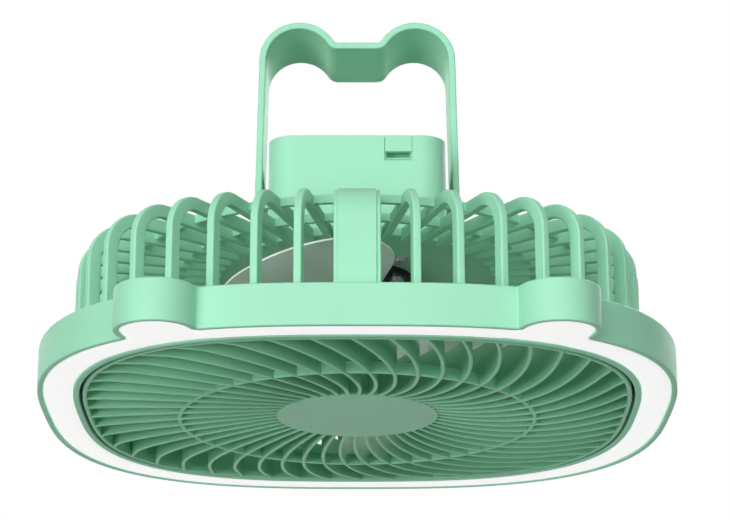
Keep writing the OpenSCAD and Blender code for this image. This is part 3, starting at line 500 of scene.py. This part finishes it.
# The rotor can and the motor base are near black. This is partly their own dark finish and
# partly painted shade for the dark middle deep inside the guard.
ROTOR_DARK_AND_SHADE = metal("black_steel_and_painted_shade", "#1a1d1c", 0.6).material
ALLOY_DARK_AND_SHADE = metal("motor_alloy", "#2a2e2d", 0.6).material
CORE = metal("core_steel", "#6b6c70", 0.4, stretch=(1, 1, 60)).material
COPPER = metal("coil_copper", "#b8673a", 0.35, stretch=(1, 1, 40)).material
BRASS = metal("bearing_brass", "#c09a4e", 0.35).material
SPRING = metal("spring_steel", "#c6c8cb", 0.25).material
FERRITE = moulded("magnet_ferrite", "#3a3a3d", 0.55, tone=0.1).material


# ---------- face ----------


def face_outline():
    """Points of the face's outline with its two lobes, and the normals there"""
    points, normals = [], []
    lobe_steps, fillet_steps, squircle_step = 40, 5, math.radians(1.5)
    searches, search_span = 50, 0.3

    def squircle_normal(p):
        n = Vector((math.copysign(abs(p.x) ** (CURVE - 1), p.x),
                    math.copysign(abs(p.y) ** (CURVE - 1), p.y)))
        return n.normalized()

    def edge_point(angle):
        r = float(squircle_radius(face_r, angle))
        return Vector((r * math.cos(angle), r * math.sin(angle)))

    def fillet_centre(lobe, inside, outside):
        """Where a circle touches both the lobe and the squircle, searched between two
        directions of which the first one starts within the lobe"""
        for _ in range(searches):
            middle = (inside + outside) / 2
            p = edge_point(middle)
            f = p + squircle_normal(p) * lobe_fillet
            if (f - lobe).length < lobe_r + lobe_fillet:
                inside = middle
            else:
                outside = middle
        return middle, f

    def direction(start, end):
        return math.atan2(end.y - start.y, end.x - start.x)

    def add_fillet(centre, first, last):
        """Points of the hollow arc between two points, by the short way round"""
        start, end = direction(centre, first), direction(centre, last)
        turn = (end - start + math.pi) % (2 * math.pi) - math.pi
        for k in range(1, fillet_steps):
            a = start + turn * k / fillet_steps
            d = Vector((math.cos(a), math.sin(a)))
            points.append(centre + d * lobe_fillet)
            normals.append(-d)

    def add_lobe(centre, first, last):
        """Points of the lobe's arc, counter-clockwise from one point to another"""
        start = direction(centre, first)
        sweep = (direction(centre, last) - start) % (2 * math.pi)
        for k in range(lobe_steps + 1):
            a = start + sweep * k / lobe_steps
            d = Vector((math.cos(a), math.sin(a)))
            points.append(centre + d * lobe_r)
            normals.append(d)

    def add_squircle(start, end):
        steps = max(4, round(abs(end - start) / squircle_step))
        for k in range(steps):
            p = edge_point(start + (end - start) * k / steps)
            points.append(p)
            normals.append(squircle_normal(p))

    lobes = []
    for side in (1, -1):
        lobe = Vector((side * lobe_x, lobe_y))
        middle = math.atan2(lobe.y, lobe.x) % (2 * math.pi)
        first = fillet_centre(lobe, middle, middle - search_span)
        last = fillet_centre(lobe, middle, middle + search_span)
        lobes.append((lobe, first, last))
    right, left = lobes
    # Counter-clockwise from the right lobe's far side, round the back to the left lobe and over
    # it, and then the same back to the right lobe
    for before, (lobe, (end, first_f), (last_angle, last_f)) in ((right, left), (left, right)):
        start = before[2][0]
        if end <= start:
            end += 2 * math.pi
        add_squircle(start, end)
        add_fillet(first_f, edge_point(end), lobe)
        add_lobe(lobe, first_f, last_f)
        add_fillet(last_f, lobe, edge_point(last_angle))
    return (np.array([tuple(p) for p in points]), np.array([tuple(n) for n in normals]))


outline_points, outline_normals = face_outline()
outline_angles = np.unwrap(np.arctan2(outline_points[:, 1], outline_points[:, 0]))
outline_angles = np.maximum.accumulate(outline_angles + np.arange(len(outline_angles)) * 1e-7)

# In a profile of the face, values beyond OUTSIDE are insets from the outline with the lobes,
# and the others are half widths of squircles.
OUTSIDE = 500


def face_loop(u, z):
    if u > OUTSIDE / 2:
        outline = outline_points - outline_normals * (OUTSIDE - u)
    else:
        outline = squircle(u, outline_angles)
    return at_height(outline, z)


def ear_centres():
    return [(ear_place * math.cos(a), ear_place * math.sin(a))
            for a in (math.radians(ear_angle + 90 * k) for k in range(4))]


def front_frame():
    """The shell, with pockets for the guard's ears and the bosses of its screws"""
    boss_sink, proud = 0.4, 0.01
    rows = [
        (OUTSIDE, 0, 0.45), (OUTSIDE, rim_h, 0.7), (seat_r, rim_h, 0.3), (seat_r, seat_z, 0),
        (duct_in_r, seat_z, 0.3), (duct_in_r, 0, 0.5), (duct_r, 0, 0.5), (duct_r, shelf_z, 0),
        (step_r, shelf_z, 0), (step_r, seat_z, 0), (OUTSIDE - rim_wall, seat_z, 0),
        (OUTSIDE - rim_wall, 0, 0.35),
    ]
    shells = Shells()
    shells.loft([face_loop(u, z) for u, z in rounded_rows(rows)], closed=True)
    pockets = Shells()
    pocket_r, open_z = ear_r + fit, rim_h + 1
    for centre in ear_centres():
        revolve(pockets, [(AXIS, seat_z), (pocket_r, seat_z), (pocket_r, open_z),
                          (AXIS, open_z)], SMALL, centre)
    shells.carve(pockets)
    low, high = shelf_z - boss_sink, seat_z + proud
    for centre in ear_centres():
        revolve(shells, [(AXIS, boss_z), (boss_r, boss_z), (boss_r, low), (ear_seat_r, low),
                         (ear_seat_r, high), (AXIS, high)], SMALL, centre)
    shells.piece("front_frame_shell", "housing", MINT, "mint_plastic", "front_frame")


def light_diffuser():
    """The light ring's window, with a slight crown, and the rib that stands inside it"""
    outer = OUTSIDE - rim_wall - fit
    inner = duct_r + fit
    rib_t, rib_top = 1.1, 8.4
    face_z, top_z, crown, edge = 0.3, 2.0, 0.2, 0.3
    crown_power, edge_power = 4, 24
    outside = np.array(face_loop(outer, 0))
    inside = np.array(face_loop(inner, 0))
    loops = [face_loop(inner, rib_top), face_loop(inner, face_z + edge)]
    steps = 14
    for k in range(steps + 1):
        t = k / steps
        loop = inside * (1 - t) + outside * t
        side = abs(2 * t - 1)
        loop[:, 2] = face_z - crown * (1 - side ** crown_power) + edge * side ** edge_power
        loops.append([tuple(p) for p in loop])
    loops += [face_loop(outer, top_z), face_loop(inner + rib_t, top_z),
              face_loop(inner + rib_t, rib_top)]
    shells = Shells()
    shells.loft(loops, closed=True)
    shells.piece("diffuser_plate", "housing", DIFFUSER, "diffuser_plastic", "light_diffuser")


# ---------- grille ----------


def swirl_turn(r):
    """Where a rib's arc is at a distance from the axis, seen from the arc's own centre"""
    place, arc = swirl_arc_place, swirl_arc_r
    return math.acos((r * r - place * place - arc * arc) / (2 * place * arc))


def swirl_reach(turn):
    """Distance from the axis at which a rib that is turned by an angle ends inside the rim"""
    tries = 6
    r = grille_r
    for _ in range(tries):
        a = swirl_turn(r)
        direction = math.atan2(swirl_arc_r * math.sin(a),
                               swirl_arc_place + swirl_arc_r * math.cos(a))
        r = float(squircle_radius(grille_r - grille_wall / 2, turn + direction))
    return r


def swirl_low(r):
    """Height of the ribs' lower edges, which bow out of the face between disc and rim"""
    share = max(0.0, 1 - ((r - bow_r) / bow_half) ** 2)
    return grille_z - (grille_z + swirl_bow) * share


def swirl_rib(shells, angle):
    """A curled rib with a slight draft, on stations that are close together at its ends"""
    steps = 24
    front_edge, back_edge = 0.42, 0.2
    root = grille_hub_r - grille_wall / 2
    reach = swirl_reach(math.radians(angle))
    half = swirl_t / 2
    draft = 0.12
    loops = []
    for k in range(steps + 1):
        r = root + (reach - root) * (1 - math.cos(math.pi * k / steps)) / 2
        a = swirl_turn(r)
        low = swirl_low(r)
        section = rounded([(-half, low), (half, low), (half - draft, swirl_top),
                           (draft - half, swirl_top)],
                          [front_edge, front_edge, back_edge, back_edge])
        loops.append([(swirl_arc_place + (swirl_arc_r + side) * math.cos(a),
                       (swirl_arc_r + side) * math.sin(a), z) for side, z in section])
    shells.loft([turned(loop, angle) for loop in loops])


def front_grille():
    shells = Shells()
    for index in range(swirl_ribs):
        swirl_rib(shells, first_swirl_angle + 360 * index / swirl_ribs)
    flange_top = seat_z + flange_t
    inner_r = grille_r - grille_wall
    squircle_band(shells, [(grille_r, grille_z, 0.5), (grille_r, seat_z, 0),
                           (flange_r, seat_z, 0.2), (flange_r, flange_top, 0.2),
                           (inner_r, flange_top, 0.2), (inner_r, grille_z, 0.5)])
    hoop(shells, tie_ring_r, grille_wall, tie_ring_z, tie_ring_z + tie_ring_h, 0.4)
    skirt_r = grille_hub_r - grille_wall
    skirt = rounded_rows([(0, 0, 0), (grille_hub_r, 0, 0.35), (grille_hub_r, hub_top_z, 0.2),
                          (skirt_r, hub_top_z, 0.2), (skirt_r, hub_face_t, 0.5),
                          (0, hub_face_t, 0)])
    revolve(shells, [(max(r, AXIS), z) for r, z in skirt], MIDDLE)
    # The grille wears the darker copy of the mint plastic, which is painted shade.
    shells.piece("swirl_grille", "housing", GRILLE_PAINTED_SHADE, "grille_plastic", "front_grille")


# ---------- guard ----------


def bent_rib(shells, angle, reach, section):
    """Sweeps a section of (sideways, inwards) points up the guard's side, round its bend and
    on to its back plate. angle is in degrees."""
    steps = 12
    foot_h, overlap = 2, 1
    centre = (reach - bend_r, guard_h - bend_r)
    stations = [((reach, seat_z), (-1, 0)), ((reach, seat_z + foot_h), (-1, 0))]
    for k in range(steps + 1):
        a = math.radians(90 * k / steps)
        out = (math.cos(a), math.sin(a))
        stations.append(((centre[0] + bend_r * out[0], centre[1] + bend_r * out[1]),
                         (-out[0], -out[1])))
    stations.append(((plate_r - overlap, guard_h), (0, -1)))
    loops = []
    for (r, z), (nr, nz) in stations:
        loop = [(r + nr * depth, side, z + nz * depth) for side, depth in section]
        loops.append(turned(loop, angle))
    shells.loft(loops)


def rib_angles():
    """Directions of the thin ribs, in degrees, evenly on both sides of the wide ones"""
    pitch = (180 - 2 * first_rib_angle) / (ribs_per_side - 1)
    return [-90 + side * (first_rib_angle + k * pitch)
            for side in (-1, 1) for k in range(ribs_per_side)]


def rear_guard():
    shells = Shells()
    thin = rounded(box_outline(-rib_w / 2, 0, rib_w / 2, rib_d), [0.55, 0.55, 0.4, 0.4])
    for angle in rib_angles():
        reach = float(squircle_radius(guard_r, math.radians(angle)))
        bent_rib(shells, angle, reach, thin)
    half, panel = wide_rib_w / 2, panel_w / 2
    groove_w, groove_d = 0.3, panel_t + 0.15
    left = [(-half, panel_t, 0.5), (-panel - groove_w, panel_t, 0.1),
            (-panel - groove_w, groove_d, 0), (-panel, groove_d, 0), (-panel, 0, 0.25)]
    right = [(-side, depth, radius) for side, depth, radius in reversed(left)]
    wide = rounded_rows(left + right + [(half, rib_d, 0.4), (-half, rib_d, 0.4)])
    for angle in (-90, 90):
        bent_rib(shells, angle, guard_r, wide)
    recess_top = seat_z + flange_t + fit
    recess_r = flange_r + fit
    squircle_band(shells, [(base_r, seat_z, 0.2), (base_r, rim_h, 0.4), (guard_in_r, rim_h, 0.4),
                           (guard_in_r, recess_top, 0.2), (recess_r, recess_top, 0),
                           (recess_r, seat_z, 0.1)])
    # The plate, the rings and the ears stop a little off the faces of the ribs and the base,
    # so that no two faces lie in one plane
    proud, ring_drop = 0.02, 0.03
    low, high = guard_h - plate_t, guard_h + proud
    revolve(shells, rounded_rows([(AXIS, low, 0), (plate_r, low, 0.25), (plate_r, high, 0.6),
                                  (AXIS, high, 0)]), LARGE)
    for r in back_rings:
        hoop(shells, r, back_ring_w, low, guard_h - ring_drop, 0.25)
    low, high = seat_z + proud, rim_h - proud
    for centre in ear_centres():
        revolve(shells, rounded_rows([(AXIS, low, 0), (ear_r, low, 0.3), (ear_r, high, 0.4),
                                      (AXIS, high, 0)]), SMALL, centre)
    shells.piece("guard_cage", "housing", MINT, "mint_plastic", "rear_guard")


# ---------- impeller ----------


def blade_reach(u):
    """Radius of a blade's tip, which falls off in a round corner at both ends of its span"""
    t = max(0.0, (abs(u) - blade_flat) / (1 - blade_flat))
    return impeller_r - blade_corner * (1 - math.sqrt(max(0.0, 1 - t * t)))


def blade_point(u, v, side):
    """u runs along the blade's span, v from its root to its tip, side is its face"""
    root_sink, thin_edge, thin_tip = 1, 0.3, 0.3
    a = u * blade_span / 2
    root = can_fit_r + root_sink
    r = root + v * (blade_reach(u) - root)
    edge = (1 - abs(u) ** 8) ** 0.5
    thickness = (blade_t * (thin_edge + (1 - thin_edge) * edge)
                 * (1 - (1 - thin_tip) * v ** 3))
    z = (blade_middle_z + a * blade_rise + blade_camber * (1 - u * u) * v
         + side * thickness / 2)
    return (r * math.cos(math.radians(a)), r * math.sin(math.radians(a)), z)


def impeller():
    shells = Shells()
    across = 48
    rows = 18
    us = [-math.cos(math.pi * i / across) for i in range(across + 1)]
    vs = [j / rows for j in range(rows + 1)]
    for blade in range(blades):
        loops = []
        for v in vs:
            loop = [blade_point(u, v, 1) for u in us]
            loop += [blade_point(u, v, -1) for u in reversed(us)]
            loops.append(turned(loop, first_blade_angle + 360 * blade / blades))
        shells.loft(loops, strip_ends=True)
    floor_z = hub_z + hub_floor
    cup = [(AXIS, hub_z, 0), (hub_r, hub_z, 1.6), (hub_r, hub_top, 0.4),
           (can_fit_r, hub_top, 0.4), (can_fit_r, floor_z, 0.6), (AXIS, floor_z, 0)]
    revolve(shells, rounded_rows(cup, 5), MIDDLE)
    shells.piece("impeller_blades", "spinner", BLADE, "blade_plastic", "impeller")


# ---------- handle ----------


def handle_path():
    """Outer line of the strap in the plane of X and Z, from the right foot to the left"""
    hump_z = handle_top - hump_r
    dip_z = handle_top - dip_h
    lean = (handle_foot_x - hump_x - hump_r) / (hump_z - pivot_z)
    fillet_z = dip_z + dip_fillet
    fillet_x = hump_x - math.sqrt((hump_r + dip_fillet) ** 2 - (fillet_z - hump_z) ** 2)
    end = math.atan2(fillet_z - hump_z, fillet_x - hump_x)
    half = []
    foot_steps, leg_steps, hump_steps, dip_steps = 10, 8, 40, 10
    foot_start = 4
    for k in range(foot_steps + 1):
        a = math.radians(foot_start + (90 - foot_start) * k / foot_steps)
        z = pivot_z - leg_r * math.cos(a)
        half.append((handle_foot_x - (z - pivot_z) * lean, z))
    for k in range(1, leg_steps):
        z = pivot_z + (hump_z - pivot_z) * k / leg_steps
        half.append((handle_foot_x - (z - pivot_z) * lean, z))
    for k in range(hump_steps + 1):
        a = end * k / hump_steps
        half.append((hump_x + hump_r * math.cos(a), hump_z + hump_r * math.sin(a)))
    for k in range(1, dip_steps + 1):
        a = end - math.pi - (end - math.pi / 2) * k / dip_steps
        half.append((fillet_x + dip_fillet * math.cos(a), fillet_z + dip_fillet * math.sin(a)))
    half.append((fillet_x / 2, dip_z))
    return half + [(-x, z) for x, z in reversed(half)]


def handle():
    """The strap, swept along its path with round feet, and the bores of its two pivots"""
    edge_r, bore_reach, least_half_squared = 0.55, 10, 0.3
    path = np.array(handle_path())
    along = np.gradient(path, axis=0)
    along /= np.linalg.norm(along, axis=1)[:, None]
    loops = []
    for (x, z), (dx, dz) in zip(path, along):
        drop = min(max(pivot_z - z, 0.0), leg_r)
        half = math.sqrt(max(leg_r ** 2 - drop ** 2, least_half_squared))
        section = rounded(box_outline(0, -half, handle_t, half), edge_r, 4)
        loops.append([(x - dz * s, y, z + dx * s) for s, y in section])
    shells = Shells()
    shells.loft(loops)
    bores = Shells()
    turns = [2 * math.pi * k / SMALL for k in range(SMALL)]
    bore = [(pivot_bore_r * math.cos(a), pivot_z + pivot_bore_r * math.sin(a)) for a in turns]
    for side in (-1, 1):
        bores.loft([[(side * x, y, z) for y, z in bore]
                    for x in (handle_foot_x - bore_reach, handle_foot_x + bore_reach)])
    shells.carve(bores)
    shells.piece("handle_strap", "handle", MINT, "mint_plastic", "handle")


# ---------- the latch, and pieces that keep their CAD shape ----------


def latch_room(margin=0.0):
    """The pocket behind and under the latch tab that its hook goes into"""
    overlap = 0.2
    near, far = latch_front + recess_d - overlap, latch_front + pocket_d + margin
    low, high = latch_z - pocket_low - margin, latch_z + pocket_high + margin
    room = Shells()
    room.loft([[(latch_x + side * (pocket_half + margin), y, z)
                for y, z in ((near, low), (far, low), (far, high), (near, high))]
               for side in (-1, 1)])
    return room


def latch_funnel():
    """The pocket's walls, and the sloping floor and cheeks that lead to it from the recess"""
    setback = 0.12
    out = latch_front + setback
    back = latch_front + recess_d
    low = latch_z - recess_h
    shells = latch_room(pocket_lining)
    shells.carve(latch_room())
    shells.loft([[(x, out, low), (x, back, low), (x, back, latch_z - pocket_low)]
                 for x in (latch_x - recess_half, latch_x + recess_half)])
    for side in (-1, 1):
        wall, cheek = latch_x + side * recess_half, latch_x + side * pocket_half
        shells.loft([[(wall, out, z), (wall, back, z), (cheek, back, z)]
                     for z in (low, latch_z)])
    shells.piece("latch_funnel", "housing", MINT, "mint_plastic")


def dressed(node, body, material, edge_mm, cutter=None):
    """A copy of a CAD node with its sharp edges rounded off, less the room of a cutter if one
    is given"""
    segments, flat_angle = 2, 0.5
    source = frame["nodes"][node]
    bm = bmesh.new()
    bm.from_mesh(source.data)
    bmesh.ops.remove_doubles(bm, verts=bm.verts, dist=1e-6)
    bmesh.ops.dissolve_limit(bm, angle_limit=math.radians(flat_angle), verts=bm.verts,
                             edges=bm.edges)
    edges = [e for e in bm.edges
             if e.is_manifold and e.calc_face_angle(0) > math.radians(SHARP)]
    bmesh.ops.bevel(bm, geom=edges, offset=edge_mm * MM, offset_type="OFFSET",
                    segments=segments, profile=0.5, affect="EDGES", clamp_overlap=True)
    mesh = bpy.data.meshes.new(node + "_dressed")
    bm.to_mesh(mesh)
    bm.free()
    plain = bpy.data.meshes.new(node + "_dressed")
    plain.from_pydata([v.co[:] for v in mesh.vertices], [],
                      [p.vertices[:] for p in mesh.polygons])
    bpy.data.meshes.remove(mesh)
    if cutter:
        plain = carved(plain, cutter)
    finish_piece(node + "_finished", plain, body, material, [node])


# The body, material, slot and edge of each node that is dressed without a cutter
DRESSED = {
    "battery_cover": ("battery_cover", MINT, "mint_plastic", 0.3),
    "power_button": ("power_button", BUTTON, "button_plastic", 0.5),
    "light_button": ("light_button", BUTTON, "button_plastic", 0.5),
    "guard_screws": ("housing", SCREW, "screw_steel", 0.4),
    "pivot_screws": ("housing", SCREW, "screw_steel", 0.5),
    "motor_base": ("housing", ALLOY_DARK_AND_SHADE, "motor_alloy", 0.3),
    "rotor_can": ("spinner", ROTOR_DARK_AND_SHADE, "can_steel", 0.5),
    "friction_washers": ("housing", WASHER, "washer_nylon", 0.2),
}

# The material of each node that stays as it is
KEPT = {
    "led_boards": LAMINATE, "led_chips": RESIN,
    "motor_base_screws": SCREW, "stator_core": CORE, "stator_coils": COPPER,
    "motor_bearings": BRASS, "magnet_ring": FERRITE, "motor_shaft": SCREW, "shaft_clip": SPRING,
    "box_screws": SCREW, "cell_cradle": NYLON, "battery_cells": WRAP,
    "contact_springs": SPRING, "contact_plates": SPRING,
    "control_board": CONTROL, "board_screws": SCREW, "button_switches": SWITCH,
    "usb_socket": CAN, "indicator_lens": LENS, "cover_hinge_pin": SCREW,
}


def keep(node, material):
    """Gives a CAD node its material"""
    slots = frame["nodes"][node].data.materials
    slots.clear()
    slots.append(material)


# ---------- stage ----------


def seen_share(nodes, links):
    """1 where a camera, glossy or transmission ray sees the surface, else 0"""
    path = nodes.new("ShaderNodeLightPath")
    seen = path.outputs["Is Camera Ray"]
    for ray in ("Is Glossy Ray", "Is Transmission Ray"):
        either = nodes.new("ShaderNodeMath")
        either.operation = "MAXIMUM"
        links.new(seen, either.inputs[0])
        links.new(path.outputs[ray], either.inputs[1])
        seen = either.outputs[0]
    return seen


def stage():
    """A pale floor with a glow that makes it near white from above. The glow adds no light to
    the object."""
    floor_z, half = -2.5, 12
    floor_glow = 0.6
    mesh = bpy.data.meshes.new("floor")
    mesh.from_pydata(at_height(box_outline(-half, -half, half, half), floor_z), [],
                     [[0, 1, 2, 3]])
    floor = bpy.data.objects.new("floor", mesh)
    bpy.context.scene.collection.objects.link(floor)
    finish = Finish("floor_paint", "#f2f2f2", 0.9)
    finish.vary_colour(finish.noise(3), 0.01)
    tree = finish.material.node_tree
    glow = tree.nodes.new("ShaderNodeMath")
    glow.operation = "MULTIPLY"
    glow.inputs[1].default_value = floor_glow
    tree.links.new(seen_share(tree.nodes, tree.links), glow.inputs[0])
    finish.shader.inputs["Emission Color"].default_value = (1, 1, 1, 1)
    tree.links.new(glow.outputs[0], finish.shader.inputs["Emission Strength"])
    mesh.materials.append(finish.material)


def world(strength):
    """White where a ray sees it, with the given strength as a light"""
    sky = bpy.data.worlds.new("studio")
    bpy.context.scene.world = sky
    sky.use_nodes = True
    nodes, links = sky.node_tree.nodes, sky.node_tree.links
    background = nodes["Background"]
    background.inputs["Color"].default_value = (1, 1, 1, 1)
    span = nodes.new("ShaderNodeMapRange")
    span.inputs["To Min"].default_value = strength
    span.inputs["To Max"].default_value = 1.0
    links.new(seen_share(nodes, links), span.inputs["Value"])
    links.new(span.outputs["Result"], background.inputs["Strength"])


def area_light(name, location, size, power):
    """A round lamp aimed at the fan's middle. size is in metres and power in watts."""
    middle = (0, 0, 0.05)
    light = bpy.data.lights.new(name, "AREA")
    light.shape = "DISK"
    light.size = size
    light.energy = power
    lamp = bpy.data.objects.new(name, light)
    lamp.location = location
    direction = Vector(middle) - Vector(location)
    lamp.rotation_euler = direction.to_track_quat("-Z", "Y").to_euler()
    lamp.visible_camera = False
    bpy.context.scene.collection.objects.link(lamp)


def camera():
    """The photograph's viewpoint: below the face's plane and tilted up at it"""
    image_w = 730
    focal_px = 2545.5
    centre_px = 357.3
    place = (0, -0.8067, -0.2161)
    tilt = 18.506
    lens = bpy.data.cameras.new("camera")
    lens.sensor_width = 36
    lens.lens = focal_px / image_w * lens.sensor_width
    lens.shift_x = (image_w / 2 - centre_px) / image_w
    lens.clip_start, lens.clip_end = 0.01, 50
    viewer = bpy.data.objects.new("camera", lens)
    viewer.location = place
    viewer.rotation_euler = (math.radians(90 + tilt), 0, 0)
    bpy.context.scene.collection.objects.link(viewer)
    bpy.context.scene.camera = viewer


# ---------- the scene ----------

camera()
stage()
world(0.02)
area_light("front", (0, -2.09, 0.73), 1.8, 20)
area_light("front_left", (-1.1, -1.9, 0.24), 1.8, 18)
area_light("low_left", (-1.38, -1.65, -0.41), 1.0, 14)
area_light("low_right", (1.23, -1.76, -0.41), 1.0, 8)
area_light("back", (0.95, 1.65, 1.15), 1.2, 16)
area_light("back_left", (-0.95, 1.65, 1.15), 1.2, 7)
area_light("under", (-0.2, 0.6, -1.0), 0.5, 1.8)

front_frame()
light_diffuser()
front_grille()
rear_guard()
impeller()
handle()
latch_funnel()
dressed("battery_box", "housing", MINT, 0.45, latch_room())
for name, (body, material, slot, edge) in DRESSED.items():
    dressed(name, body, material, edge)
for name, material in KEPT.items():
    keep(name, material)

bpy.context.scene.view_settings.view_transform = "Standard"
bpy.context.view_layer.update()
